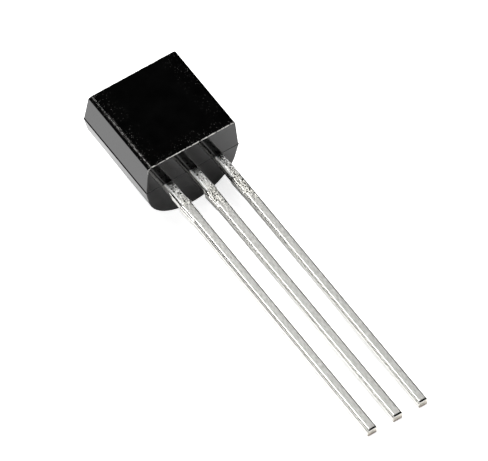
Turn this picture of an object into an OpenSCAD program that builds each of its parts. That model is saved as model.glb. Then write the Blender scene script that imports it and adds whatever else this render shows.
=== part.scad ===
// Small-signal transistor in a TO-92 style moulded case.
// A half-round epoxy case with one flat side holds three flat leads stamped from one strip.
// Everything is modelled in the lead frame's own axes: X across the row of leads, Z along
// the leads (case above Z = 0, lead ends below it) and Y through the case, from the flat
// side at -Y to the round side at +Y. The mould parts at Y = 0, on the leads' near face.
// at_rest() then lays the finished part down, flat side up, on its round side and lead ends.

/* [Case] */
// Width of the case across the leads, at the mould's parting line
body_w = 4.6; // [3.8:0.01:5.5]
// Height of the case along the leads, at the parting line
body_h = 4.63; // [3.85:0.01:5.6]
// Depth of the flat half, from the parting line to the flat
flat_depth = 1.55; // [1.3:0.01:1.9]
// Depth of the round half, from the parting line to the top of its arc
round_depth = 2.47; // [2.1:0.01:2.9]
// Draft of the flat half's two sides, in degrees
side_draft = 3.7; // [1:0.1:7]
// Draft of the flat half's lead end, in degrees
flat_lead_draft = 3.5; // [1:0.5:7]
// Draft of the flat half's closed end, in degrees
flat_top_draft = 5; // [1:0.5:7]
// Draft of the round half's two straight sides, which run on into its arc, in degrees
round_side_draft = 12; // [8:0.5:14]
// Draft of the round half's lead end, in degrees
round_lead_draft = 0.5; // [0.5:0.5:4]
// Draft of the round half's closed end, in degrees
round_top_draft = 2.5; // [0.5:0.5:5]
// Width of the bevel along each long edge of the flat
bevel_w = 0.16; // [0.08:0.005:0.22]
// Depth of the bevel along each long edge of the flat
bevel_d = 0.18; // [0.1:0.01:0.35]
// Radius of the edge around the flat
flat_edge_r = 0.045; // [0.02:0.005:0.06]
// Radius of the flat half's four corners, seen square on to the flat
corner_r = 0.06; // [0.03:0.01:0.15]
// Edge break around both ends of the round half
round_edge = 0.04; // [0.02:0.01:0.1]
// Ledge where the round half of the mould stands proud of the flat half
mould_ledge = 0.025; // [0.01:0.005:0.04]

/* [Mould marks] */
// Diameter of the ejector pin's mark on the round side
ejector_d = 1.2; // [0.8:0.05:1.6]
// Depth of the ejector pin's mark below the top of the arc
ejector_depth = 0.11; // [0.09:0.01:0.2]
// Width of the broken-off moulding gate on the closed end
gate_w = 0.9; // [0.5:0.05:1.4]
// Thickness of the gate, from the parting line into the round half
gate_t = 0.32; // [0.2:0.01:0.45]
// Height of the gate's stub above the closed end
gate_h = 0.05; // [0.02:0.01:0.1]

/* [Leads] */
// Spacing of the leads
pitch = 1.27; // [1.05:0.01:1.55]
// Width of a lead
lead_w = 0.44; // [0.36:0.01:0.55]
// Thickness of the lead strip
lead_t = 0.38; // [0.31:0.01:0.46]
// Length of the leads below the case
lead_l = 14.78; // [12:0.01:18]
// Radius of the leads' long edges
lead_edge_r = 0.08; // [0.03:0.01:0.12]
// Distance from the case to the cut dam bar
dam_start = 1.3; // [1:0.05:1.6]
// Length of the dam bar's cut stubs along a lead
dam_len = 0.85; // [0.5:0.05:1.1]
// How far a dam bar stub stands out from the side of a lead
dam_stub = 0.05; // [0.02:0.01:0.09]
// Rounding of the near edge where the lead end is sheared
shear_roll = 0.06; // [0.03:0.01:0.1]

/* [Lead frame inside the case] */
// Distance from the lead end of the case to the locking wings
wing_start = 0.42; // [0.35:0.01:0.5]
// Length of the locking wings along a lead
wing_len = 0.36; // [0.25:0.01:0.45]
// How far a locking wing stands out from the side of a lead
wing_out = 0.16; // [0.1:0.01:0.2]
// Width of the two bond posts
post_w = 0.76; // [0.6:0.01:0.9]
// Length of the two bond posts along the leads
post_len = 0.78; // [0.6:0.01:0.95]
// Gap that the stamping leaves between neighbouring leads
strip_gap = 0.28; // [0.2:0.01:0.34]
// Cover of epoxy above the die paddle
paddle_cover = 0.72; // [0.6:0.01:0.9]
// Corner cut of the paddle and the posts
shoulder = 0.14; // [0.08:0.01:0.2]

/* [Die and wires] */
// Side of the square die
die_side = 0.46; // [0.35:0.01:0.56]
// Thickness of the die
die_t = 0.2; // [0.15:0.01:0.25]
// Thickness of the die attach layer
attach_t = 0.03; // [0.02:0.005:0.04]
// How far the die attach shows around the die
attach_margin = 0.05; // [0.02:0.01:0.08]
// Diameter of the bond wires
wire_d = 0.04; // [0.03:0.005:0.05]
// Diameter of the bonded ball and foot at a wire's two ends
bond_d = 0.1; // [0.08:0.005:0.13]
// Height of the wires' loops above the die
wire_loop = 0.3; // [0.2:0.01:0.4]

/* [Hidden] */
$fn = 64;

// Places of the three leads across the case
collector_x = -pitch;
base_x = 0;
emitter_x = pitch;

// The round half's straight sides start at the ends of the parting line and touch its arc, whose
// radius and centre follow from that
arc_r = (body_w / 2 * cos(round_side_draft) - round_depth * sin(round_side_draft))
        / (1 - sin(round_side_draft));
arc_y = round_depth - arc_r;

// Heights of the lead frame's features inside the case
base_post_z = wing_start + wing_len + shoulder;
paddle_z = base_post_z + post_len + strip_gap;
paddle_top = body_h - paddle_cover;
emitter_post_z = paddle_z;
frame_z = wing_start / 2;

// The paddle runs from the outer edge of its own lead to the gap beside the emitter's post
paddle_left = collector_x - lead_w / 2;
paddle_right = emitter_x - post_w / 2 - strip_gap;

// The die sits in the middle of the paddle, and its two pads lie towards the posts
die_x = (paddle_left + paddle_right) / 2;
die_z = (paddle_z + paddle_top) / 2;
die_face = -(attach_t + die_t);
pad_offset = die_side / 4;
wire_top = die_face - wire_loop;

// Overlap of joined solids, and how many flats make up the round half's arc
joint_overlap = 0.2;
arc_steps = 52;

// At rest the part touches the floor with the far edge of its lead ends and with the round
// side's lowest corner, which lies on the end's edge break
touch_z = round_depth * tan(round_lead_draft) + round_edge;
rest_tilt = atan((round_depth - lead_t) / (lead_l + touch_z));
rest_height = round_depth * cos(rest_tilt) - touch_z * sin(rest_tilt);

// Middle of the resting part's length, from the closed end's upper rim to the sheared lead ends
rim_y = round_depth - round_edge;
closed_end_y = (body_h - rim_y * tan(round_top_draft)) * cos(rest_tilt) + rim_y * sin(rest_tilt);
lead_end_y = shear_roll * sin(rest_tilt) - lead_l * cos(rest_tilt);
rest_middle = (closed_end_y + lead_end_y) / 2;

// Lays the part down at its rest tilt, with its box centred over the origin
module at_rest() {
    translate([0, -rest_middle, rest_height])
        rotate([rest_tilt - 90, 0, 0])
            children();
}

// Corner of a rounded outline: an arc of radius r around (cx, cy), from start to start + 90
function corner_arc(cx, cy, r, start, steps = 5) =
    [for (i = [0:steps]) [cx + r * cos(start + 90 * i / steps), cy + r * sin(start + 90 * i / steps)]];

// Rectangle of half sizes hx and hy around the origin, with corners of radius r
function rounded_rect_points(hx, hy, r) =
    concat(corner_arc(hx - r, hy - r, r, 0), corner_arc(r - hx, hy - r, r, 90),
           corner_arc(r - hx, r - hy, r, 180), corner_arc(hx - r, r - hy, r, 270));
module rounded_rect(hx, hy, r) {
    polygon(rounded_rect_points(hx, hy, r));
}

// Solid with a skin over a row of loops, each of as many points, and a flat face over both ends.
// Looking from the first loop to the last, each loop runs clockwise
module skin(loops) {
    n = len(loops[0]);
    last = (len(loops) - 1) * n;
    polyhedron([for (loop = loops) each loop],
               concat([[for (i = [0:n - 1]) i]],
                      [for (k = [0:n:last - n], i = [0:n - 1])
                          [k + i, k + n + i, k + n + (i + 1) % n, k + (i + 1) % n]],
                      [[for (i = [n - 1:-1:0]) last + i]]));
}

// Stamps an outline, drawn in X and Z, through the thickness of the lead strip
module stamped() {
    translate([0, lead_t, 0])
        rotate([90, 0, 0])
            linear_extrude(height = lead_t)
                children();
}

// ---------- Case ----------

// Loop around the flat half at depth y, drawn in by the given insets at its sides and two ends
function flat_half_loop(y, side_inset, lead_inset, top_inset) =
    let (hx = body_w / 2 - mould_ledge - side_inset,
         hz = body_h / 2 - mould_ledge - (lead_inset + top_inset) / 2,
         middle = (body_h + lead_inset - top_inset) / 2)
    [for (p = rounded_rect_points(hx, hz, corner_r)) [p.x, y, middle + p.y]];

// Flat half: drafted walls, a bevel along the two long edges and a rounded rim to the flat. It
// starts inside the round half
module flat_half() {
    wall_depth = flat_depth - bevel_d;
    wall_inset = wall_depth * tan(side_draft);
    lead_slope = tan(flat_lead_draft);
    top_slope = tan(flat_top_draft);
    skin(concat(
        [flat_half_loop(joint_overlap, joint_overlap, joint_overlap, joint_overlap),
         flat_half_loop(0, 0, 0, 0),
         flat_half_loop(-wall_depth, wall_inset, wall_depth * lead_slope, wall_depth * top_slope)],
        [for (turn = [0:22.5:90])
            let (depth = flat_depth - flat_edge_r * (1 - sin(turn)),
                 rim = flat_edge_r * (1 - cos(turn)),
                 bevel = bevel_w * (depth - wall_depth) / bevel_d)
            flat_half_loop(-depth, wall_inset + bevel + rim, depth * lead_slope + rim,
                           depth * top_slope + rim)]));
}

// Loop around the round half, drawn in by an inset: the two straight sides go up from the parting
// line and run on into the arc. It lies at height z and rises or falls with the depth by slope
function round_half_loop(z, slope, inset) =
    let (r = arc_r - inset,
         span = 180 - 2 * round_side_draft,
         foot_x = (r + arc_y * sin(round_side_draft)) / cos(round_side_draft),
         arc = [for (i = [0:arc_steps])
                   let (angle = round_side_draft + span * i / arc_steps)
                   [r * cos(angle), arc_y + r * sin(angle)]])
    [for (p = concat([[foot_x, 0]], arc, [[-foot_x, 0]])) [p.x, p.y, z + p.y * slope]];

// Round half: one outline along the leads, between two drafted ends with a broken edge
module round_half() {
    lead_slope = tan(round_lead_draft);
    top_slope = -tan(round_top_draft);
    skin([round_half_loop(0, lead_slope, round_edge),
          round_half_loop(round_edge, lead_slope, 0),
          round_half_loop(body_h - round_edge, top_slope, 0),
          round_half_loop(body_h, top_slope, round_edge)]);
}

// Stub of the gate through which the epoxy entered the mould, broken off at the closed end
module gate_stub() {
    translate([-gate_w / 2, 0, body_h - joint_overlap])
        cube([gate_w, gate_t, joint_overlap + gate_h]);
}

// Flat spot that the ejector pin leaves in the middle of the round side
module ejector_mark() {
    translate([0, round_depth - ejector_depth, body_h / 2])
        rotate([-90, 0, 0])
            cylinder(h = round_depth, d = ejector_d);
}

// ---------- Leads ----------

// Straight lead outside the case, with rounded long edges and a sheared end rolled at its near edge
module lead_shank(x) {
    intersection() {
        translate([x, lead_t / 2, -lead_l])
            linear_extrude(height = lead_l + wing_start)
                rounded_rect(lead_w / 2, lead_t / 2, lead_edge_r);
        translate([x - lead_w, 0, 0])
            rotate([90, 0, 90])
                linear_extrude(height = 2 * lead_w)
                    polygon([[0, wing_start], [0, 2 * shear_roll - lead_l],
                             [shear_roll / 4, shear_roll - lead_l], [shear_roll, -lead_l],
                             [lead_t, -lead_l], [lead_t, wing_start]]);
    }
}

// Stubs on both sides of a lead, where the dam bar between the leads was cut out
module dam_stubs(x) {
    half = lead_w / 2 + dam_stub;
    stamped()
        translate([x, -dam_start])
            polygon([[-lead_w / 2, dam_stub / 2], [lead_w / 2, dam_stub / 2],
                     [half, -dam_stub / 2], [half, dam_stub / 2 - dam_len],
                     [lead_w / 2, -dam_stub / 2 - dam_len], [-lead_w / 2, -dam_stub / 2 - dam_len],
                     [-half, dam_stub / 2 - dam_len], [-half, -dam_stub / 2]]);
}

// Stem of a lead inside the case up to height top, with the wings that lock it in the epoxy
module lead_stem(x, top) {
    stamped() {
        translate([x - lead_w / 2, frame_z]) square([lead_w, top - frame_z]);
        translate([x - lead_w / 2 - wing_out, wing_start]) square([lead_w + 2 * wing_out, wing_len]);
    }
}

// Rectangle with its four corners cut at 45 degrees
module cut_corner_rect(x0, z0, x1, z1) {
    polygon([[x0 + shoulder, z0], [x1 - shoulder, z0], [x1, z0 + shoulder], [x1, z1 - shoulder],
             [x1 - shoulder, z1], [x0 + shoulder, z1], [x0, z1 - shoulder], [x0, z0 + shoulder]]);
}

// Bond post: the widened end of a lead that a wire is bonded to
module bond_post(x, z) {
    stamped() cut_corner_rect(x - post_w / 2, z, x + post_w / 2, z + post_len);
}

// ---------- Wires ----------

// Point of a wire at t = 0 to 1: it rises from a, crosses at the loop's height and lands on b
function wire_point(a, b, t) =
    let (across = t * t * (3 - 2 * t), up = 4 * t * (1 - t))
    [a.x + (b.x - a.x) * across, a.y + (b.y - a.y) * t + (wire_top - (a.y + b.y) / 2) * up,
     a.z + (b.z - a.z) * across];

// Direction of a wire at t, which is square to its two lands at the ends
function wire_direction(a, b, t) =
    t <= 0 ? [0, -1, 0] : t >= 1 ? [0, 1, 0] :
    let (d = wire_point(a, b, t + 0.01) - wire_point(a, b, t - 0.01)) d / norm(d);

// Radius of a wire at t: it swells to the bonded ball at one end and to the foot at the other
function wire_radius(t) =
    let (from_end = min(t, 1 - t)) (from_end < 0.035 ? bond_d : wire_d) / 2;

// Bond wire from land a to land b, swept with eight sides
module bond_wire(a, b) {
    sides = 8;
    stations = concat([0, 0.03, 0.06], [for (i = [1:11]) 0.06 + 0.88 * i / 12], [0.94, 0.97, 1]);
    level = cross([0, 1, 0], b - a);
    side_axis = level / norm(level);
    skin([for (t = stations)
        let (p = wire_point(a, b, t),
             lift = cross(side_axis, wire_direction(a, b, t)),
             r = wire_radius(t))
        [for (turn = [0:360 / sides:359])
            p + r * (cos(turn) * side_axis + sin(turn) * lift)]]);
}

// ---------- Solids in the lead frame's axes ----------

module collector_solid() {
    lead_shank(collector_x);
    dam_stubs(collector_x);
    lead_stem(collector_x, paddle_z + shoulder);
    stamped() cut_corner_rect(paddle_left, paddle_z, paddle_right, paddle_top);
}

module base_solid() {
    lead_shank(base_x);
    dam_stubs(base_x);
    lead_stem(base_x, base_post_z + shoulder);
    bond_post(base_x, base_post_z);
}

module emitter_solid() {
    lead_shank(emitter_x);
    dam_stubs(emitter_x);
    lead_stem(emitter_x, emitter_post_z + shoulder);
    bond_post(emitter_x, emitter_post_z);
}

module attach_solid() {
    side = die_side + 2 * attach_margin;
    translate([die_x - side / 2, -attach_t, die_z - side / 2]) cube([side, attach_t, side]);
}

module die_solid() {
    translate([die_x - die_side / 2, die_face, die_z - die_side / 2]) cube([die_side, die_t, die_side]);
}

module base_wire_solid() {
    bond_wire([die_x + pad_offset, die_face, die_z - pad_offset],
              [base_x, 0, base_post_z + post_len / 2]);
}

module emitter_wire_solid() {
    bond_wire([die_x + pad_offset, die_face, die_z + pad_offset],
              [emitter_x, 0, emitter_post_z + post_len / 2]);
}

// ---------- Pieces ----------

// Moulded epoxy case, cast around the lead frame, the die and the wires
module case() {
    color([0.06, 0.06, 0.065])
        at_rest()
            difference() {
                union() {
                    flat_half();
                    round_half();
                    gate_stub();
                }
                ejector_mark();
                collector_solid();
                base_solid();
                emitter_solid();
                attach_solid();
                die_solid();
                base_wire_solid();
                emitter_wire_solid();
            }
}

module collector_lead() {
    color([0.82, 0.81, 0.78]) at_rest() collector_solid();
}

module base_lead() {
    color([0.82, 0.81, 0.78]) at_rest() base_solid();
}

module emitter_lead() {
    color([0.82, 0.81, 0.78]) at_rest() emitter_solid();
}

module die_attach() {
    color([0.7, 0.7, 0.68]) at_rest() attach_solid();
}

module die() {
    color([0.33, 0.35, 0.42]) at_rest() die_solid();
}

module base_wire() {
    color([0.86, 0.68, 0.28]) at_rest() base_wire_solid();
}

module emitter_wire() {
    color([0.86, 0.68, 0.28]) at_rest() emitter_wire_solid();
}

case();
collector_lead();
base_lead();
emitter_lead();
die_attach();
die();
base_wire();
emitter_wire();
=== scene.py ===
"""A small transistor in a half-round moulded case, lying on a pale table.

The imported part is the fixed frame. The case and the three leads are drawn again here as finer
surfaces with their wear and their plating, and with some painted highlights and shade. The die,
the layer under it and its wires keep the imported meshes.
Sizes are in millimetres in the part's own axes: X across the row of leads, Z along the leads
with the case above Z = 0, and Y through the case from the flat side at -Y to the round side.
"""

import math

import bpy
import numpy as np
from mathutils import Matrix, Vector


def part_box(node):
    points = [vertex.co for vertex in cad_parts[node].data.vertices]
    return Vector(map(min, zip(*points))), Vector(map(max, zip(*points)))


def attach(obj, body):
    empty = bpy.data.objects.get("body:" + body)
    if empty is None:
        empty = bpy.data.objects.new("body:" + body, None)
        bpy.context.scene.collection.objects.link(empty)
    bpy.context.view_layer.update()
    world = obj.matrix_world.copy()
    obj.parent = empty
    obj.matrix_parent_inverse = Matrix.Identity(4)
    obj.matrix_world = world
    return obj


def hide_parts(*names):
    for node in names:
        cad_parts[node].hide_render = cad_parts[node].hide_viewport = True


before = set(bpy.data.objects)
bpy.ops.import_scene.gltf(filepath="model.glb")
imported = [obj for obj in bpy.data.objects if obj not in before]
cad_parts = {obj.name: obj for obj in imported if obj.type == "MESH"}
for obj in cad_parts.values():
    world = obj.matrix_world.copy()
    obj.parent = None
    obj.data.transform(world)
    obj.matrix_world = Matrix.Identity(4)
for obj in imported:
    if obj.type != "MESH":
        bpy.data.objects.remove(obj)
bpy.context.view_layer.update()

MM = 0.001

# ---------- Sizes, in millimetres, and drafts ----------

# The case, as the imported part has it
BODY_W, BODY_H = 4.6, 4.63
FLAT_DEPTH, ROUND_DEPTH = 1.55, 2.47
SIDE_DRAFT, FLAT_LEAD_DRAFT, FLAT_TOP_DRAFT = np.radians((3.7, 3.5, 5.0))
ROUND_SIDE_DRAFT, ROUND_LEAD_DRAFT, ROUND_TOP_DRAFT = np.radians((12.0, 0.5, 2.5))
ROUND_EDGE, LEDGE = 0.04, 0.025
GATE_W, GATE_T, GATE_H = 0.9, 0.32, 0.05
EJECTOR_D, EJECTOR_DEPTH = 1.2, 0.11

# The case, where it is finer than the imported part: a shallower bevel on both sides of the flat, a
# lower ledge on the two ends, and small radii. BEVEL_RADII goes from the right wall's edge over
# the flat's right and left edges to the left wall's edge
BEVEL_W, BEVEL_D = 0.16, 0.08
BEVEL_RADII = (0.05, 0.04, 0.015, 0.05)
LEDGE_AT_END = 0.006
END_RADIUS_FLAT, END_RADIUS_SIDE, END_RADIUS_ROUND = 0.035, 0.02, 0.015

# The left and the right side stand out by these shares, and the right one by RIGHT_LEAN less for
# each millimetre towards the flat
LEFT_STRETCH, RIGHT_STRETCH, RIGHT_LEAN = 1.022, 1.004, 0.013

# The leads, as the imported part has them
PITCH = 1.27
LEAD_W, LEAD_T, LEAD_L = 0.44, 0.38, 14.78
DAM_START, DAM_LEN = 1.3, 0.85
SHEAR_ROLL = 0.06
WING_START, WING_LEN, WING_OUT = 0.42, 0.36, 0.16
POST_W, POST_LEN, STRIP_GAP = 0.76, 0.78, 0.28
PADDLE_COVER, SHOULDER = 0.72, 0.14

# The radii of a lead's long edges, which are nearly sharp from SHARP_FROM inwards. The near left
# edge has two radii for each lead, and goes from one to the other between ROLL_CHANGE's heights
FAR_RADIUS, NEAR_RIGHT_RADIUS, INNER_RADIUS = 0.09, 0.065, 0.008
SHARP_FROM = 0.21
ROLL_CHANGE = (-1.5, -1.2)

# The sheared end's roll is SHEAR_ROLL deep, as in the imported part, and this high
SHEAR_HEIGHT = 0.1

# The round half: straight drafted sides that run on into one arc
ARC_R = (
    BODY_W / 2 * math.cos(ROUND_SIDE_DRAFT) - ROUND_DEPTH * math.sin(ROUND_SIDE_DRAFT)
) / (1 - math.sin(ROUND_SIDE_DRAFT))
ARC_Y = ROUND_DEPTH - ARC_R

# The case's round edge touches the table at TOUCH_Z, and the far edges of the lead ends do too
TOUCH_Z = ROUND_DEPTH * math.tan(ROUND_LEAD_DRAFT) + ROUND_EDGE
TILT = math.atan((ROUND_DEPTH - LEAD_T) / (LEAD_L + TOUCH_Z))
REST_Z = ROUND_DEPTH * math.cos(TILT) - TOUCH_Z * math.sin(TILT)
RIM_Y = ROUND_DEPTH - ROUND_EDGE
REST_Y = -(
    (BODY_H - RIM_Y * math.tan(ROUND_TOP_DRAFT) - LEAD_L) * math.cos(TILT)
    + (RIM_Y + SHEAR_ROLL) * math.sin(TILT)
) / 2


def laid(points):
    """Points in the part's axes, turned by TILT - 90 degrees about X and moved to where the part
    lies, in metres."""
    x, y, z = np.moveaxis(np.asarray(points, float), -1, 0)
    c, s = math.cos(TILT), math.sin(TILT)
    return np.stack((x, y * s + z * c + REST_Y, z * s - y * c + REST_Z), axis=-1) * MM


# ---------- Camera ----------

IMAGE_W, IMAGE_H = 488, 461
SENSOR_W = 36.0

# The directions that run right, down and ahead in the image, in the part's axes, and the place in
# the image of the point AIM on the middle lead
CAMERA_AXES = (
    (0.82321, -0.02576, -0.56715),
    (-0.45283, 0.57277, -0.68329),
    (0.34245, 0.81931, 0.45984),
)
AIM = (0.0, 0.0, -5.0)
AIM_PX = (261.776, 251.252)
CAMERA_PX_PER_MM = 24.2814
CAMERA_FAR = 588.2


def long_lens_camera():
    """A camera far off with a long lens, turned and placed by its three axes."""
    data = bpy.data.cameras.new("long_lens")
    data.sensor_width = SENSOR_W
    data.lens = SENSOR_W * CAMERA_PX_PER_MM * CAMERA_FAR / IMAGE_W
    data.clip_start, data.clip_end = 0.01, 10.0
    camera = bpy.data.objects.new("long_lens", data)
    right, down, ahead = (np.array(axis) for axis in CAMERA_AXES)
    middle = (
        np.array(AIM)
        + (IMAGE_W / 2 - AIM_PX[0]) / CAMERA_PX_PER_MM * right
        + (IMAGE_H / 2 - AIM_PX[1]) / CAMERA_PX_PER_MM * down
    )
    turn = laid([(0, 0, 0), right, -down, -ahead, middle - ahead * CAMERA_FAR])
    for column in range(3):
        axis = (turn[column + 1] - turn[0]) / MM
        for row in range(3):
            camera.matrix_world[row][column] = axis[row]
    for row in range(3):
        camera.matrix_world[row][3] = turn[4][row]
    return camera


camera = long_lens_camera()
bpy.context.scene.collection.objects.link(camera)
bpy.context.scene.camera = camera
bpy.context.scene.view_settings.view_transform = "Standard"


# ---------- Mesh helpers ----------


def grain(points, size, seed):
    """Smooth random numbers from -1 to 1 in space: random values on a cubic lattice of the given
    size, blended between the eight corners of the cell a point lies in."""
    table = np.random.default_rng(seed).uniform(-1, 1, 4096)
    place = np.asarray(points, float) / size
    cell = np.floor(place).astype(np.int64)
    part = place - cell
    part = part * part * (3 - 2 * part)
    total = 0
    for corner in np.ndindex(2, 2, 2):
        weight = np.prod(np.where(corner, part, 1 - part), axis=-1)
        total = total + weight * table[(cell + corner) @ (7919, 104729, 1299709) % 4096]
    return total


def closed_skin(name, rings, first, last, material, marks):
    """A closed surface: rings is a grid of points, stations along by points round, whose rows
    close on themselves, and a point at each end closes the first and the last ring. marks holds a
    number for each grid point under each name, for the material to read, and is 0 at those two
    points."""
    count, around = rings.shape[:2]
    points = np.concatenate((rings.reshape(-1, 3), [first, last]))
    along, turn = np.meshgrid(np.arange(count - 1), np.arange(around), indexing="ij")
    after = (turn + 1) % around
    quads = np.stack(
        (
            along * around + turn,
            along * around + after,
            (along + 1) * around + after,
            (along + 1) * around + turn,
        ),
        axis=-1,
    ).reshape(-1, 4)
    turn = np.arange(around)
    after = (turn + 1) % around
    top = (count - 1) * around
    fans = np.concatenate(
        (
            np.stack((np.full(around, count * around), after, turn), axis=-1),
            np.stack((np.full(around, count * around + 1), top + turn, top + after), axis=-1),
        )
    )

    # The faces are turned over where the volume that they enclose comes out below zero
    a, b, c, d = (points[quads[:, k]] for k in range(4))
    if np.sum(a * np.cross(b, c) + a * np.cross(c, d)) < 0:
        quads, fans = quads[:, ::-1], fans[:, ::-1]

    mesh = bpy.data.meshes.new(name)
    mesh.vertices.add(len(points))
    mesh.vertices.foreach_set("co", laid(points).astype(np.float32).ravel())
    corners = np.concatenate((quads.ravel(), fans.ravel()))
    sizes = np.concatenate((np.full(len(quads), 4), np.full(len(fans), 3)))
    mesh.loops.add(len(corners))
    mesh.loops.foreach_set("vertex_index", corners.astype(np.int32))
    mesh.polygons.add(len(sizes))
    mesh.polygons.foreach_set("loop_start", (np.cumsum(sizes) - sizes).astype(np.int32))
    mesh.update(calc_edges=True)
    mesh.validate()
    mesh.shade_smooth()
    for mark, values in marks.items():
        layer = mesh.attributes.new(mark, "FLOAT", "POINT")
        layer.data.foreach_set("value", np.append(values.ravel(), (0, 0)).astype(np.float32))
    mesh.materials.append(material)
    piece = bpy.data.objects.new(name, mesh)
    bpy.context.scene.collection.objects.link(piece)
    return piece


# ---------- Material helpers ----------


def linear(colour):
    """An sRGB hex colour as the linear colour a shader takes."""
    channels = [int(colour[i : i + 2], 16) / 255 for i in (1, 3, 5)]
    return tuple(
        c / 12.92 if c <= 0.04045 else ((c + 0.055) / 1.055) ** 2.4 for c in channels
    ) + (1.0,)


def add(tree, kind, inputs=None, stops=(), **settings):
    """Adds one node. Settings are the node's own. inputs gives each socket, by its name or
    number, a value, or an output to be linked to: a node stands for its first output in use.
    stops are the two ends of a colour ramp, as (place, grey level or hex colour)."""
    made = tree.nodes.new("ShaderNode" + kind)
    for name, value in settings.items():
        setattr(made, name, value)
    for name, value in (inputs or {}).items():
        if isinstance(value, bpy.types.Node):
            value = next(output for output in value.outputs if output.enabled)
        if isinstance(value, bpy.types.NodeSocket):
            tree.links.new(value, made.inputs[name])
        else:
            made.inputs[name].default_value = value
    if stops:
        for element, (place, level) in zip(made.color_ramp.elements, stops):
            element.position = place
            element.color = linear(level) if isinstance(level, str) else (level,) * 3 + (1,)
    return made


def empty_tree(owner):
    """The node tree of a material or of the world, with nothing in it."""
    owner.use_nodes = True
    owner.node_tree.nodes.clear()
    return owner.node_tree


def part_axes(tree):
    """The shaded point in the part's own axes, in millimetres: the undoing of laid()."""
    back = math.pi / 2 - TILT
    c, s = math.cos(back), math.sin(back)
    return add(
        tree,
        "Mapping",
        {
            "Vector": add(tree, "TexCoord").outputs["Object"],
            "Scale": (1 / MM,) * 3,
            "Rotation": (back, 0, 0),
            "Location": (0, -(REST_Y * c - REST_Z * s), -(REST_Y * s + REST_Z * c)),
        },
    )


# ---------- Materials ----------


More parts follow.
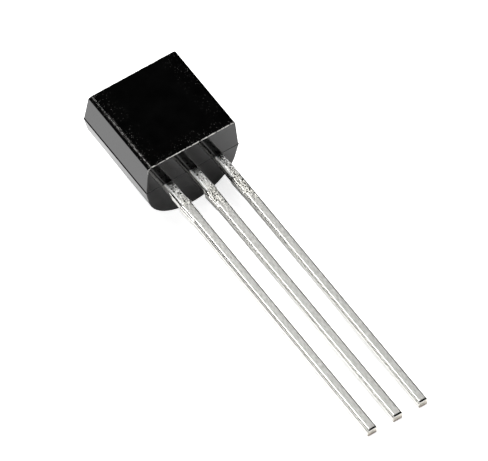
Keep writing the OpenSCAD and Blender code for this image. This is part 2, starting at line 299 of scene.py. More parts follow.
def moulded_epoxy():
    """Black epoxy moulding compound, filled with silica and moulded against polished steel: a
    near-black colour with a clear gloss and a faint grain. The edge over the leads is rubbed
    pale, and the pale rub also serves as a painted highlight along that edge. Fine scratches run
    along the left bevel, and pale dust lies near the edges of the flat."""
    material = bpy.data.materials.new("moulded_epoxy")
    tree = empty_tree(material)
    place = part_axes(tree)
    axes = add(tree, "SeparateXYZ", {0: place}).outputs

    # The filler's grain, drawn coarser than it is so that it shows, and patches of 0.6 mm
    fine = add(tree, "TexNoise", {"Vector": place, "Scale": 1 / 0.045, "Detail": 3.0})
    broad = add(tree, "TexNoise", {"Vector": place, "Scale": 1 / 0.6, "Detail": 2.0})

    # 1 on the flat and its bevels, and 0 on the walls
    front = add(tree, "MapRange", {0: axes["Y"], "From Min": -1.4, "From Max": -1.46})

    # Rubbed edge over the leads, in scuffs 0.14 mm long and 0.05 mm wide: pale wear that also
    # serves as a painted highlight along the edge
    rub_and_highlight = add(tree, "Attribute", attribute_name="rub_and_highlight").outputs["Fac"]
    scale = (1 / 0.14, 1 / 0.05, 1 / 0.05)
    drawn_out = add(tree, "Mapping", {"Vector": place, "Scale": scale})
    scuffs = add(tree, "TexNoise", {"Vector": drawn_out, "Scale": 1.0, "Detail": 4.0})
    scuffed = add(tree, "ValToRGB", {0: scuffs}, stops=((0.43, 0.1), (0.51, 1.0)))
    rub_and_highlight_scuffed = add(tree, "Math", {0: rub_and_highlight, 1: scuffed}, operation="MULTIPLY")

    # Scratches along the left bevel, 0.02 mm wide and 2.4 mm long, a little off the leads'
    # direction and broken by gaps of 0.16 mm
    turned = add(tree, "Mapping", {"Vector": place, "Rotation": (0, math.radians(1.2), 0)})
    drawn_out = add(tree, "Mapping", {"Vector": turned, "Scale": (1 / 0.02, 0.3, 1 / 2.4)})
    streaks = add(tree, "TexNoise", {"Vector": drawn_out, "Scale": 1.0, "Detail": 2.0})
    scale = (1 / 0.1, 1 / 0.3, 1 / 0.16)
    drawn_out = add(tree, "Mapping", {"Vector": place, "Scale": scale})
    gaps = add(tree, "TexNoise", {"Vector": drawn_out, "Scale": 1.0})
    scratched = add(tree, "ValToRGB", {0: streaks}, stops=((0.56, 0.0), (0.66, 1.0)))
    for mask in (
        add(tree, "ValToRGB", {0: gaps}, stops=((0.42, 0.1), (0.6, 1.0))),
        add(tree, "MapRange", {0: axes["X"], "From Min": -1.96, "From Max": -2.04}),
        add(tree, "MapRange", {0: axes["X"], "From Min": -2.14, "From Max": -2.1}),
        front,
    ):
        scratched = add(tree, "Math", {0: scratched, 1: mask}, operation="MULTIPLY")

    # Dust, one grain in some cells of a 0.048 mm lattice, in patches near the sides and the
    # leads
    cells = add(tree, "TexVoronoi", {"Vector": place, "Scale": 1 / 0.048}).outputs
    chance = add(tree, "SeparateXYZ", {0: cells["Color"]}).outputs["X"]
    off_middle = add(tree, "Math", {0: axes["X"]}, operation="ABSOLUTE")
    near_sides = add(tree, "MapRange", {0: off_middle, "From Min": 1.2, "From Max": 2.1})
    near_leads = add(tree, "MapRange", {0: axes["Z"], "From Min": 0.9, "From Max": 0.1})
    dusty = add(tree, "ValToRGB", {0: cells["Distance"]}, stops=((0.14, 1.0), (0.28, 0.0)))
    for mask in (
        add(tree, "MapRange", {0: chance, "From Min": 0.7, "From Max": 0.95}),
        add(tree, "Math", {0: near_sides, 1: near_leads}, operation="MAXIMUM"),
        add(tree, "ValToRGB", {0: broad}, stops=((0.35, 0.0), (0.6, 1.0))),
        front,
    ):
        dusty = add(tree, "Math", {0: dusty, 1: mask}, operation="MULTIPLY")

    # The pale colour takes the rubbed edge with its painted highlight, the scratches and the dust
    pale = rub_and_highlight_scuffed
    for share, mark in ((0.25, scratched), (0.32, dusty)):
        part = add(tree, "Math", {0: mark, 1: share}, operation="MULTIPLY")
        pale = add(tree, "Math", {0: pale, 1: part}, operation="MAXIMUM")
    black = add(tree, "ValToRGB", {0: broad}, stops=((0.3, "#010101"), (0.7, "#020202")))
    colour = add(
        tree, "Mix", {"Factor": pale, 6: black, 7: linear("#fbf9f4")}, data_type="RGBA"
    )

    # The pale marks are dull, and the flat is a little duller than the walls
    handled = add(tree, "Math", {0: front, 1: 0.06}, operation="MULTIPLY")
    dull = add(tree, "Math", {0: pale, 1: handled}, operation="MAXIMUM")
    gloss = add(tree, "ValToRGB", {0: broad}, stops=((0.3, 0.08), (0.7, 0.1)))
    roughness = add(tree, "Mix", {"Factor": dull, 2: gloss, 3: 0.5})
    relief = {"Height": fine, "Strength": 0.15, "Distance": 0.002 * MM}
    shader = add(
        tree,
        "BsdfPrincipled",
        {
            "IOR": 1.62,
            "Base Color": colour,
            "Roughness": roughness,
            "Normal": add(tree, "Bump", relief),
        },
    )
    add(tree, "OutputMaterial", {"Surface": shader})
    return material


def tinned_copper_alloy():
    """Copper alloy strip with a thin matt tin plating, rolled along its length: a pale silver
    with a soft sheen. Close to the case, the cleaning of the moulded strip has left the faces
    coarse, in grains with painted shade in dark pits and painted highlights as white glints,
    and painted lighter there to offset the case's shade. A dull white burr runs along their
    rolled edges, partly a painted highlight. The sides are smooth, and darker over their far
    part. The ends were sheared after plating, so that bare copper shows at their far rim."""
    material = bpy.data.materials.new("tinned_copper_alloy")
    tree = empty_tree(material)
    place = part_axes(tree)
    axes = add(tree, "SeparateXYZ", {0: place}).outputs
    corner, side, cut = (
        add(tree, "Attribute", attribute_name=name).outputs["Fac"]
        for name in ("corner", "side", "cut")
    )
    near_case = add(tree, "MapRange", {0: axes["Z"], "From Min": -1.35, "From Max": -1.15})
    # The rolled corners close to the case are painted dull white: a burr, and a painted highlight
    burr_and_highlight = add(tree, "Math", {0: corner, 1: near_case}, operation="MULTIPLY")

    # Marks of rolling, 0.16 mm long and 0.035 mm wide, coarser than the real ones so that they
    # show
    scale = (1 / 0.035, 1 / 0.035, 1 / 0.16)
    drawn_out = add(tree, "Mapping", {"Vector": place, "Scale": scale})
    rolled = add(tree, "TexNoise", {"Vector": drawn_out, "Scale": 1.0})

    # Where the coarse part of the faces ends: further out on the right lead than on the left,
    # unevenly by patches of 0.45 mm, and with only a fifth of it on the sides
    patches = add(tree, "TexNoise", {"Vector": place, "Scale": 1 / 0.45})
    slant = {0: axes["X"], 1: 0.47, 2: axes["Z"]}
    slanted = add(tree, "Math", slant, operation="MULTIPLY_ADD")
    uneven = add(tree, "Math", {0: patches, 1: 1.6, 2: slanted}, operation="MULTIPLY_ADD")
    most = add(tree, "MapRange", {0: side, "To Min": 1.0, "To Max": 0.2})
    coarse = add(
        tree, "MapRange", {0: uneven, "From Min": -1.75, "From Max": -0.95, "To Max": most}
    )

    # Grains: uneven cells of 0.1 mm, with painted shade as a dark pit in the middle of some and a
    # painted highlight as a white glint on others, all a little darker further out
    bent = add(tree, "TexNoise", {"Vector": place, "Scale": 1 / 0.12, "Detail": 2.0})
    warp = {0: bent.outputs["Color"], 1: (0.13,) * 3, 2: place}
    warped = add(tree, "VectorMath", warp, operation="MULTIPLY_ADD")
    cells = add(tree, "TexVoronoi", {"Vector": warped, "Scale": 1 / 0.1}).outputs
    tone = add(tree, "SeparateXYZ", {0: cells["Color"]}).outputs["X"]
    middle = add(tree, "ValToRGB", {0: cells["Distance"]}, stops=((0.32, 1.0), (0.46, 0.0)))
    speckle = {"Vector": place, "Scale": 1 / 0.04, "Detail": 3.0, "Roughness": 0.6}
    fine = add(tree, "TexNoise", speckle)
    grains = add(tree, "ValToRGB", {0: fine}, stops=((0.35, "#d8d7d2"), (0.6, "#ffffff")))
    # Painted shade darkens the pits, and painted highlights whiten the glints
    for stops, colour in (
        (((0.55, 1.0), (0.65, 0.0)), "#33322f"),
        (((0.75, 0.0), (0.85, 1.0)), "#ffffff"),
    ):
        chosen = add(tree, "ValToRGB", {0: tone}, stops=stops)
        share = add(tree, "Math", {0: middle, 1: chosen}, operation="MULTIPLY")
        inputs = {"Factor": share, 6: grains, 7: linear(colour)}
        grains = add(tree, "Mix", inputs, data_type="RGBA")
    # Painted light: the grains are darker further out, so that close to the case they offset the
    # shade that the case casts there
    further_out = add(tree, "MapRange", {0: axes["Z"], "From Min": -0.2, "From Max": -1.3})
    inputs = {"Factor": further_out, 6: grains, 7: linear("#c3c2bd")}
    grains = add(tree, "Mix", inputs, data_type="RGBA", blend_type="MULTIPLY")

    # Colour: the plating, the burr with its painted highlight, the cut end, the darker far part of
    # the sides and the bare copper
    deep, sheared, low = (
        add(tree, "MapRange", {0: axes["Y"], "From Min": start, "From Max": stop})
        for start, stop in ((0.26, 0.3), (0.05, 0.09), (0.3, 0.36))
    )
    # The far part of the sides is darker
    darker_far_part = add(tree, "Math", {0: side, 1: deep}, operation="MULTIPLY")
    sheared = add(tree, "Math", {0: cut, 1: sheared}, operation="MULTIPLY")
    bare = add(tree, "Math", {0: cut, 1: low}, operation="MULTIPLY")
    plated = add(tree, "ValToRGB", {0: rolled}, stops=((0.3, "#cbcac5"), (0.7, "#f8f7f3")))
    copper = add(tree, "ValToRGB", {0: fine}, stops=((0.35, "#a5805f"), (0.65, "#d8b28e")))
    colour = plated
    for share, other in (
        (coarse, grains),
        (burr_and_highlight, linear("#ffffff")),
        (sheared, linear("#fffaf0")),
        (darker_far_part, linear("#77756f")),
        (bare, copper),
    ):
        colour = add(tree, "Mix", {"Factor": share, 6: colour, 7: other}, data_type="RGBA")

    # Roughness: the faces, their coarse part, the sides, the rolled edges and the cut end. The
    # sides are glossier close to the case, and the rolled edges are duller there
    roughness = add(tree, "ValToRGB", {0: rolled}, stops=((0.3, 0.28), (0.7, 0.36)))
    for share, other in (
        (coarse, add(tree, "ValToRGB", {0: fine}, stops=((0.35, 0.42), (0.6, 0.32)))),
        (side, add(tree, "Mix", {"Factor": near_case, 2: 0.205, 3: 0.1})),
        (corner, add(tree, "Mix", {"Factor": near_case, 2: 0.16, 3: 0.4})),
        (cut, 0.15),
        (sheared, 0.5),
    ):
        roughness = add(tree, "Mix", {"Factor": share, 2: roughness, 3: other})

    # Relief: low marks of rolling, deeper domes on the coarse part, and next to none on the rolled
    # edges
    domes = {0: cells["Distance"], 1: -0.7, 2: fine}
    domed = add(tree, "Math", domes, operation="MULTIPLY_ADD")
    depth = {0: coarse, 1: 0.015 * MM, 2: 0.001 * MM}
    relief = {
        "Height": add(tree, "Mix", {"Factor": coarse, 2: rolled, 3: domed}),
        "Strength": add(tree, "MapRange", {0: corner, "To Min": 1.0, "To Max": 0.05}),
        "Distance": add(tree, "Math", depth, operation="MULTIPLY_ADD"),
    }
    shader = add(
        tree,
        "BsdfPrincipled",
        {
            "Base Color": colour,
            "Metallic": add(tree, "MapRange", {0: burr_and_highlight, "To Min": 1.0, "To Max": 0.0}),
            "Roughness": roughness,
            "Normal": add(tree, "Bump", relief),
        },
    )
    add(tree, "OutputMaterial", {"Surface": shader})
    return material


def inner_material(name, low, high, size, metallic, roughness):
    """A material inside the case, mottled between two colours at the given grain in mm."""
    material = bpy.data.materials.new(name)
    tree = empty_tree(material)
    spots = add(tree, "TexNoise", {"Vector": part_axes(tree), "Scale": 1 / size})
    mottled = add(tree, "ValToRGB", {0: spots}, stops=((0.35, low), (0.65, high)))
    finish = {"Base Color": mottled, "Metallic": metallic, "Roughness": roughness}
    shader = add(tree, "BsdfPrincipled", finish)
    add(tree, "OutputMaterial", {"Surface": shader})
    return material


epoxy = moulded_epoxy()
tin = tinned_copper_alloy()

# ---------- Case ----------


def filleted(corners, radii, steps=7):
    """An open path whose inner corners are arcs: each arc touches both legs of its corner."""
    corners = [np.array(c, float) for c in corners]
    path = [corners[0][None]]
    for before, corner, after, radius in zip(corners, corners[1:], corners[2:], radii):
        back = (before - corner) / np.linalg.norm(before - corner)
        on = (after - corner) / np.linalg.norm(after - corner)
        half = math.acos(float(back @ on)) / 2
        away = (back + on) / np.linalg.norm(back + on)
        centre = corner + away * radius / math.sin(half)
        turn = math.pi - 2 * half
        t = np.linspace(0, 1, steps)[:, None]
        start = corner + back * radius / math.tan(half) - centre
        end = corner + on * radius / math.tan(half) - centre
        swept = np.sin((1 - t) * turn) * start + np.sin(t * turn) * end
        path.append(centre + swept / math.sin(turn))
    path.append(corners[-1][None])
    return np.concatenate(path)


def spaced(path, gap, margin=0.012):
    """The path with its long legs cut at equal gaps, and once more at a small margin from each
    end, so that the shading of an arc doesn't run out onto the flats beside it."""
    out = []
    for a, b in zip(path, path[1:]):
        length = np.linalg.norm(b - a)
        cuts = [0.0]
        if length > 4 * margin:
            inner = np.linspace(margin, length - margin, max(2, round(length / gap)))
            cuts += list(inner / length)
        out.append(a + (b - a) * np.array(cuts)[:, None])
    out.append(path[-1][None])
    return np.concatenate(out)


def inward(path):
    """The unit normal of each point of an open path, to the side of the origin, from the
    direction between its two neighbours."""
    along = np.gradient(path, axis=0)
    normal = np.stack((-along[:, 1], along[:, 0]), axis=-1)
    normal /= np.linalg.norm(normal, axis=-1, keepdims=True)
    return normal * -np.sign(np.sum(normal * path, axis=-1, keepdims=True))


def stepped(a, b, distance, band, lip):
    """Moves the grid points near a mark's outline onto two lines just inside and outside it, so
    that its edge is crisp: a point within the band of the outline slides along the slope of the
    distance until its distance is -lip or +lip."""
    d = distance(a, b)
    nudge = 1e-4
    slope_a = (distance(a + nudge, b) - d) / nudge
    slope_b = (distance(a, b + nudge) - d) / nudge
    move = np.where(np.abs(d) < band, np.where(d < 0, -lip, lip) - d, 0.0)
    return a + slope_a * move, b + slope_b * move, d < 0


# The gap between points along the outline's legs, and half the angle of the finer middle part of
# the arc, which takes the ejector pin's mark
LEG_GAP = 0.06
FINE_ARC = 0.36

# The shares of the outline at which rings lie on the lead end, and on the closed end, where they
# are finer in the middle for the gate
RIM_SHARES = (0.975, 0.994, 1.0)
LEAD_END_SHARES = np.append(np.linspace(0, 1, 15)[1:-1], RIM_SHARES)
CLOSED_END_SHARES = np.concatenate(
    (np.linspace(0, 0.24, 26)[1:], np.linspace(0.28, 0.94, 12), RIM_SHARES)
)

# The turns of the edge round each end, from the end to the wall, and the shares of the wall's
# height at which rings lie, finer in the middle for the ejector pin's mark
EDGE_TURNS = np.radians(np.linspace(90, 0, 8))[1:]
WALL_SHARES = np.concatenate(
    (
        [0.003],
        np.linspace(0.012, 0.33, 26),
        np.linspace(0.34, 0.66, 60),
        np.linspace(0.67, 0.988, 26),
        [0.997],
    )
)


def flat_half():
    """The outline of the flat half, seen along the leads: drafted sides, bevels and the flat,
    from the right side's parting line to the left one's."""
    half = BODY_W / 2
    wall = FLAT_DEPTH - BEVEL_D
    shoulder = half - wall * math.tan(SIDE_DRAFT)
    corners = [
        (half, 0),
        (shoulder, -wall),
        (shoulder - BEVEL_W, -FLAT_DEPTH),
        (BEVEL_W - shoulder, -FLAT_DEPTH),
        (-shoulder, -wall),
        (-half, 0),
    ]
    return spaced(filleted(corners, BEVEL_RADII), LEG_GAP)


def round_half():
    """The outline of the round half: a drafted side, an arc of radius ARC_R round ARC_Y that
    runs on from it, and the other side, from the left parting line to the right one."""
    half = BODY_W / 2
    low = math.pi / 2 - ROUND_SIDE_DRAFT
    sweep = np.concatenate(
        (
            np.linspace(-low, -FINE_ARC, 46),
            np.linspace(-FINE_ARC, FINE_ARC, 66)[1:-1],
            np.linspace(FINE_ARC, low, 46),
        )
    )
    arc = np.stack((ARC_R * np.sin(sweep), ARC_Y + ARC_R * np.cos(sweep)), axis=-1)
    run = np.linspace(0, 1, 13)[:-1, None]
    left = (1 - run) * (-half, 0) + run * arc[0]
    right = (run * arc[-1] + (1 - run) * (half, 0))[::-1]
    return np.concatenate((left, arc, right))


def case_outline():
    """Both halves as one outline, its inward normals, and a row that holds 1 on the flat half,
    which stands in by the ledge."""
    flat, arc = flat_half(), round_half()
    outline = np.concatenate((flat, arc))
    on_flat = np.concatenate((np.ones(len(flat)), np.zeros(len(arc))))
    inner = np.concatenate((inward(flat), inward(arc)))
    for index in (0, len(flat) - 1, len(flat), -1):
        inner[index] = (-np.sign(outline[index, 0]), 0)
    outline[:, 0] -= np.sign(outline[:, 0]) * LEDGE * on_flat
    lean = RIGHT_STRETCH + RIGHT_LEAN * np.minimum(outline[:, 1], 0)
    outline[:, 0] *= np.where(outline[:, 0] < 0, LEFT_STRETCH, lean)
    return outline, inner, on_flat


def edge_radii(outline, inner, on_flat):
    """The radius of the edge round each end for each point of the outline, uneven by noise along
    it. On the flat half it goes from the flat's to the sides' by the normal's share of X."""
    along = np.cumsum(np.linalg.norm(np.diff(outline, axis=0, prepend=outline[-1:]), axis=-1))
    line = np.stack((along, 0 * along, 0 * along), axis=-1)
    side = np.clip(np.abs(inner[:, 0]), 0, 1) * on_flat
    edge = END_RADIUS_FLAT + (END_RADIUS_SIDE - END_RADIUS_FLAT) * side
    edge = np.where(on_flat > 0, edge, END_RADIUS_ROUND)
    return edge * (1 + 0.25 * grain(line, 0.13, 5) + 0.15 * grain(line, 0.045, 6))


def end_rings(shares, drafts):
    """One end of the case from its middle outwards, as (x and y, height above the end's plane,
    rubbing, which the material also paints as the edge's highlight). The end slopes from the
    parting line by the draft of each half, over the ledge on the flat one, and an arc of the
    edge's radius joins it to the walls."""
    outline, inner, on_flat = case_outline()
    edge = edge_radii(outline, inner, on_flat)
    slope = np.where(on_flat > 0, math.tan(drafts[0]), math.tan(drafts[1]))
    start = outline + inner * edge[:, None]
    found = []
    for share in shares:
        at = share * start
        found.append((at, on_flat * LEDGE_AT_END + np.abs(at[:, 1]) * slope, 0 * edge))
    for turn in EDGE_TURNS:
        at = outline + inner * (edge * (1 - math.cos(turn)))[:, None]
        height = on_flat * LEDGE_AT_END + np.abs(at[:, 1]) * slope + edge * (1 - math.sin(turn))
        found.append((at, height, np.full(len(edge), math.sin(2 * turn))))
    return found


def press_pin(rings, on_flat):
    """Presses the ejector pin's mark into the rings: a flat-bottomed round recess in the middle
    of the round side, whose other points go back onto the arc."""
    reach = EJECTOR_D / 2 + 0.15
    near = (on_flat == 0) & (np.abs(rings[..., 0]) < reach)
    near &= np.abs(rings[..., 2] - BODY_H / 2) < reach

    def from_pin(x, z):
        """The distance from the recess's round outline, below 0 inside it."""
        return np.hypot(x, z - BODY_H / 2) - EJECTOR_D / 2

    x, z, inside = stepped(rings[..., 0], rings[..., 2], from_pin, band=0.02, lip=0.006)
    y = ARC_Y + np.sqrt(np.maximum(ARC_R**2 - x**2, 0))
    y = np.where(inside, ROUND_DEPTH - EJECTOR_DEPTH, y)
    rings[near] = np.stack((x, y, z), axis=-1)[near]


def raise_gate(rings, on_flat):
    """Raises the gate's broken-off stub on the closed end, beside the parting line, with an
    uneven top. Returns where it is."""
    closed_end = (np.arange(len(rings)) >= len(rings) - len(CLOSED_END_SHARES))[:, None]
    near = closed_end & (on_flat == 0)
    near = near & (np.hypot(rings[..., 0], rings[..., 1]) < GATE_W / 2 + 0.17)

    def from_gate(x, y):
        """The distance from the stub's rectangle, below 0 inside it."""
        return np.maximum(np.abs(x) - GATE_W / 2, np.abs(y) - GATE_T)

    x, y, inside = stepped(rings[..., 0], rings[..., 1], from_gate, band=0.016, lip=0.005)
    y = np.maximum(y, 0)
    darker_far_part = GATE_H * (0.85 + 0.1 * grain(np.stack((x, y, 0 * x), axis=-1), 0.07, 8))
    z = np.where(inside, BODY_H + darker_far_part, BODY_H - y * math.tan(ROUND_TOP_DRAFT))
    rings[near] = np.stack((x, y, z), axis=-1)[near]
    return near & inside


def case_skin():
    """The case as rings round the leads' direction, each an outline of the case seen along the
    leads. They grow from a point on the lead end's parting line out over that end, roll over its
    edge, run along the walls and close over the other end the same way."""
    outline, _, on_flat = case_outline()
    lead_end = end_rings(LEAD_END_SHARES, (FLAT_LEAD_DRAFT, ROUND_LEAD_DRAFT))
    closed_end = end_rings(CLOSED_END_SHARES, (FLAT_TOP_DRAFT, ROUND_TOP_DRAFT))[::-1]
    bottom, top = lead_end[-1][1], BODY_H - closed_end[0][1]
    rings = [np.column_stack((at, height)) for at, height, _ in lead_end]
    rings += [np.column_stack((outline, bottom + (top - bottom) * t)) for t in WALL_SHARES]
    rings += [np.column_stack((at, BODY_H - height)) for at, height, _ in closed_end]
    rings = np.array(rings)
    wall = [0 * bottom] * len(WALL_SHARES)
    rub_and_highlight = np.array([bare for *_, bare in lead_end] + wall + [bare for *_, bare in closed_end])
    press_pin(rings, on_flat)
    gate = raise_gate(rings, on_flat)

    # The edges are rubbed pale, which also paints their highlight, along the flat, wholly over the
    # leads and by a third at the closed end, and the torn gate is a little paler
    front = np.clip(-rings[..., 1] / FLAT_DEPTH * 4 - 2.6, 0, 1)
    rub_and_highlight *= front * np.where(rings[..., 2] < BODY_H / 2, 1.0, 0.35)
    rub_and_highlight = np.where(gate, 0.12, rub_and_highlight)
    first = (0, 0, LEDGE_AT_END / 2)
    last = (0, 0, BODY_H + GATE_H * 0.8)
    return closed_skin("moulded_case", rings, first, last, epoxy, {"rub_and_highlight": rub_and_highlight})


case = case_skin()
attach(case, "root")
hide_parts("case")

# ---------- Leads ----------

# The near left corner of a lead's section is flatter than an arc: an arc's cosine and sine are
# taken to this power
ROLL_POWER = 1.4


def section():
    """One turn round a lead's section: four corners, each an arc, with points along the leg to
    the next. For each point: its share of the right edge, its share of the far face, and its
    offset from the corner's centre in corner radii."""
    right, far, out_x, out_y = [], [], [], []
    quarter = np.radians(np.linspace(0, 90, 10))
    cuts = np.linspace(0, 1, 9)[1:-1]
    corners = ((0, 0), (1, 0), (1, 1), (0, 1))
    for index, (at_right, at_far) in enumerate(corners):
        next_right, next_far = corners[(index + 1) % 4]
        start = math.pi + index * math.pi / 2
        right += [np.full(len(quarter), at_right), at_right + (next_right - at_right) * cuts]
        far += [np.full(len(quarter), at_far), at_far + (next_far - at_far) * cuts]
        leg = start + math.pi / 2
        power = ROLL_POWER if index == 0 else 1.0
        c, s = np.cos(start + quarter), np.sin(start + quarter)
        out_x += [np.sign(c) * np.abs(c) ** power, np.full(len(cuts), math.cos(leg))]
        out_y += [np.sign(s) * np.abs(s) ** power, np.full(len(cuts), math.sin(leg))]
    return [np.concatenate(part).astype(float) for part in (right, far, out_x, out_y)]


def end_height(depth):
    """How far the sheared end of a lead lies back from its tip at a depth below the near face: a
    quarter ellipse down to SHEAR_ROLL, then square across."""
    share = np.clip(1 - depth / SHEAR_ROLL, 0, 1)
    return SHEAR_HEIGHT * (1 - np.sqrt(1 - share**2))


def lead_skin(name, middle, edges, stubs, spread, roll, seed):
    """A lead as its section carried along Z, closed at its end by the section drawn in towards
    its core. Inside the case, edges lists (height, left, right). Outside it, the two edges run
    straight, LEAD_W apart, and the right one stands out by spread. The stubs of the dam bar
    stand out on the left and the right by the two sizes in stubs. roll is the radius of the near
    face's left corner, close to the case and further out. A point's radius and the centre of its
    corner come from its shares of the right edge and the far face."""
    right, far, out_x, out_y = section()
    outer = -np.concatenate(
        (np.linspace(0.0, 2.4, 121), np.arange(2.44, LEAD_L - SHEAR_HEIGHT, 0.04))
    )
    tip = -LEAD_L + np.array((SHEAR_HEIGHT, 0.07, 0.045, 0.025, 0.012, 0.004, 0.0))
    inside, left, stop = np.array(edges[::-1]).T
    heights = np.concatenate((inside, outer, tip))
    beyond = np.ones(len(outer) + len(tip))
    left = np.concatenate((left, (middle - LEAD_W / 2) * beyond))
    stop = np.concatenate((stop, (middle + LEAD_W / 2 + spread) * beyond))

    # The dam bar's stubs: the left one starts square and slopes back further out, and the right
    # one rises over 0.5 mm, then drops to less than a third
    left_at = DAM_START + np.array((-0.03, 0.0, DAM_LEN - 0.05, DAM_LEN))
    left_stub = np.interp(-heights, left_at, (0, 1, 0.35, 0))
    right_at = DAM_START + np.array((-0.5, 0.0, 0.04, DAM_LEN, DAM_LEN + 0.05))
    right_stub = np.interp(-heights, right_at, (0, 1, 0.3, 0.3, 0))

    rounded = (heights < SHARP_FROM)[:, None]
    rolled = np.interp(heights, ROLL_CHANGE, roll[::-1])[:, None]
    near = np.where(rounded, rolled + (NEAR_RIGHT_RADIUS - rolled) * right, INNER_RADIUS)
    back = np.where(rounded, FAR_RADIUS, INNER_RADIUS)
    radius = (1 - far) * near + far * back
    x = (
        (1 - right) * ((left - stubs[0] * left_stub)[:, None] + radius)
        + right * ((stop + stubs[1] * right_stub)[:, None] - radius)
        + out_x * radius
    )
    y = (1 - far) * near + far * (LEAD_T - back) + out_y * radius
    z = np.broadcast_to(heights[:, None], x.shape).copy()
    from_end = np.maximum(heights[:, None] + LEAD_L, 0)
    z += end_height(y) * np.exp(-from_end / 0.06) * (heights < 0)[:, None]
    rings = np.stack((x, y, z), axis=-1)

    # Plating: lumpy close to the case, fine further out, and smooth on the rolled corners
    lumps = grain(rings + seed, 0.09, seed) * 0.6 + grain(rings + seed, 0.04, seed + 1) * 0.4
    rough = np.clip((2.6 + heights) / 0.5, 0, 1)[:, None] * (heights < 0.05)[:, None]
    swell = lumps * (0.0018 * rough + 0.0006)
    swell *= 1 - np.clip(np.abs(out_x * out_y) * 4, 0, 1)
    rings[..., 0] += out_x * swell
    rings[..., 1] += out_y * swell * (1 - 0.5 * far)

    core = np.array((middle, 0.2))
    face = []
    for scale in (0.97, 0.93, 0.88, 0.82, 0.74, 0.62, 0.45, 0.25):
        at = core + scale * (rings[-1, :, :2] - core)
        face.append(np.column_stack((at, end_height(at[:, 1]) - LEAD_L)))
    rings = np.concatenate((rings, face))
    rings[:, :, 1] = np.clip(rings[:, :, 1], 0, LEAD_T)
    first = (rings[0].min(0) + rings[0].max(0)) / 2

    # Where the material shows the cut end, the rolled corners of the near face and the sides
    cut = np.zeros(rings.shape[:2])
    cut[-len(face) :] = 1
    turned = np.clip(np.abs(out_x) * 14, 0, 1)
    towards_front = np.clip((np.abs(out_y) - np.abs(out_x) - 0.35) * 4, 0, 1)
    marks = {
        "cut": cut,
        "corner": turned * towards_front * (far < 0.5) * (1 - cut),
        "side": np.clip(np.abs(out_x) * 5 - 1.25, 0, 1) * (1 - cut),
    }
    return closed_skin(name, rings, first, (*core, -LEAD_L), tin, marks)


def with_post(x, height):
    """Edges of a lead with locking wings that ends in a bond post at the given height, as
    (height, left, right): x less and plus half of each width."""
    top = WING_START + WING_LEN
    halves = (
        (0.02, LEAD_W / 2),
        (0.2, LEAD_W / 2),
        (SHARP_FROM, LEAD_W / 2),
        (WING_START, LEAD_W / 2),
        (WING_START, LEAD_W / 2 + WING_OUT),
        (top, LEAD_W / 2 + WING_OUT),
        (top, LEAD_W / 2),
        (height, LEAD_W / 2),
        (height, POST_W / 2 - SHOULDER),
        (height + SHOULDER, POST_W / 2),
        (height + POST_LEN - SHOULDER, POST_W / 2),
        (height + POST_LEN, POST_W / 2 - SHOULDER),
    )
    return [(z, x - half, x + half) for z, half in halves]


def with_paddle(x):
    """Edges of the lead that carries the die on its paddle, as (height, left, right): the stem
    of a lead with a post, then the paddle over the other two leads' posts."""
    low = WING_START + WING_LEN + SHOULDER + POST_LEN + STRIP_GAP
    top = BODY_H - PADDLE_COVER
    start, stop = x - LEAD_W / 2, PITCH - POST_W / 2 - STRIP_GAP
    stem = with_post(x, low)[:8]
    return stem + [
        (low, start, stop - SHOULDER),
        (low + SHOULDER, start, stop),
        (top - SHOULDER, start, stop),
        (top, start + SHOULDER, stop - SHOULDER),
    ]


BASE_POST = WING_START + WING_LEN + SHOULDER
EMITTER_POST = BASE_POST + POST_LEN + STRIP_GAP

# For each lead: its node, its middle, its edges inside the case, the sizes of its stubs, how far
# its right edge stands out, the radii of its rolled corner, and the seed of its grain
LEADS = (
    ("collector_lead", -PITCH, with_paddle(-PITCH), (0.065, 0.05), 0.03, (0.115, 0.115), 11),
    ("base_lead", 0.0, with_post(0.0, BASE_POST), (0.065, 0.035), 0.03, (0.125, 0.088), 23),
    ("emitter_lead", PITCH, with_post(PITCH, EMITTER_POST), (0.03, 0.0), 0.0, (0.125, 0.088), 37),
)
for node, middle, edges, stubs, spread, roll, seed in LEADS:
    lead = lead_skin("tinned_" + node, middle, edges, stubs, spread, roll, seed)
    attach(lead, "root")
    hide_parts(node)

# ---------- Pieces inside the case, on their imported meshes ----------

# A matt grey paste under the die, the die's dark blue-grey mirror, and warm bright wires
gold = inner_material("drawn_gold_wire", "#d8b255", "#e6c46e", 0.03, 1.0, 0.25)
INNER = {
    "die_attach": inner_material("silver_filled_adhesive", "#9b9a94", "#c4c3bd", 0.02, 0.6, 0.45),
    "die": inner_material("polished_silicon", "#3a3d46", "#565b68", 0.05, 0.7, 0.2),
    "base_wire": gold,
    "emitter_wire": gold,
}
for node, material in INNER.items():
    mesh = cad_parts[node].data
    mesh.materials.clear()
    mesh.materials.append(material)


# ---------- Table, surroundings and lights ----------

# In metres, apart from the table's count of sides and what the camera sees added to its white
TABLE_R, LAMP_FAR = 0.4, 0.6
TABLE_SIDES = 64
CAMERA_LIFT = 0.75


def pale_table():
    """A plain white sheet, lifted to white where the camera sees it, under the part's shadow."""
    material = bpy.data.materials.new("pale_table")
    tree = empty_tree(material)
    sheet = add(tree, "BsdfPrincipled", {"Base Color": linear("#f0f0f0"), "Roughness": 0.9})
    seen = add(tree, "LightPath").outputs["Is Camera Ray"]
    lift = add(tree, "Math", {0: seen, 1: CAMERA_LIFT}, operation="MULTIPLY")
    glow = add(tree, "Emission", {"Strength": lift})
    both = add(tree, "AddShader", {0: sheet, 1: glow})
    add(tree, "OutputMaterial", {"Surface": both})
    return material


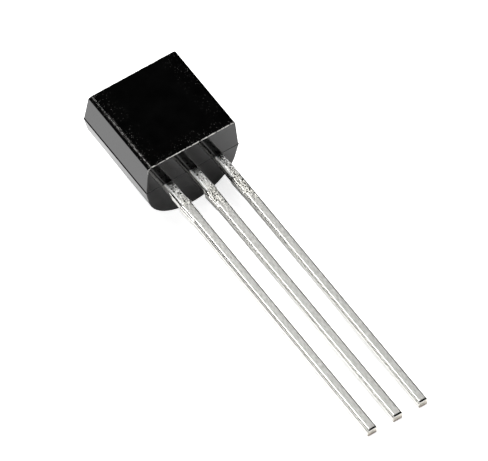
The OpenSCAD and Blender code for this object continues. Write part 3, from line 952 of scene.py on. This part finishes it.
def table_top():
    """A flat disc of TABLE_R metres radius under the part."""
    angle = np.linspace(0, 2 * math.pi, TABLE_SIDES + 1)[:-1]
    low = min(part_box("case")[0].z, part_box("base_lead")[0].z)
    rim = (TABLE_R * np.cos(angle), TABLE_R * np.sin(angle), 0 * angle + low)
    mesh = bpy.data.meshes.new("table")
    mesh.from_pydata(np.stack(rim, axis=-1).tolist(), [], [list(range(TABLE_SIDES))])
    mesh.materials.append(pale_table())
    top = bpy.data.objects.new("table", mesh)
    bpy.context.scene.collection.objects.link(top)


def surroundings():
    """A dark room beyond the table, which is white where the camera sees it."""
    world = bpy.data.worlds.new("dark_room")
    tree = empty_tree(world)
    dark = add(tree, "Background", {"Color": linear("#000000")})
    white = add(tree, "Background", {"Color": linear("#ffffff"), "Strength": 1.0})
    seen = add(tree, "LightPath").outputs["Is Camera Ray"]
    mixed = add(tree, "MixShader", {0: seen, 1: dark, 2: white})
    add(tree, "OutputWorld", {"Surface": mixed})
    bpy.context.scene.world = world


def soft_light(name, direction, across, size, level):
    """A rectangular lamp LAMP_FAR metres off, facing the part from a direction. across is the way
    its first size runs, and level is its brightness, where 1 is white."""
    data = bpy.data.lights.new(name, "AREA")
    data.shape = "RECTANGLE"
    data.size, data.size_y = size
    data.energy = level * math.pi * size[0] * size[1]
    lamp = bpy.data.objects.new(name, data)
    toward = np.array(direction, float) / np.linalg.norm(direction)
    side = np.array(across, float) - toward * (toward @ np.array(across, float))
    side /= np.linalg.norm(side)
    up = np.cross(toward, side)
    for row in range(3):
        lamp.matrix_world[row][0] = side[row]
        lamp.matrix_world[row][1] = up[row]
        lamp.matrix_world[row][2] = toward[row]
        lamp.matrix_world[row][3] = toward[row] * LAMP_FAR
    bpy.context.scene.collection.objects.link(lamp)


table_top()
surroundings()
soft_light("key_behind", (-0.05, 0.82, 0.57), (1, 0, 0), (0.22, 0.24), 20.0)
soft_light("left_above", (-0.070, 0.362, 0.929), (1, 0, 0), (0.2, 0.5), 11.0)
soft_light("left_low", (-0.88, -0.1, 0.46), (0, 0, 1), (0.2, 0.6), 5.0)
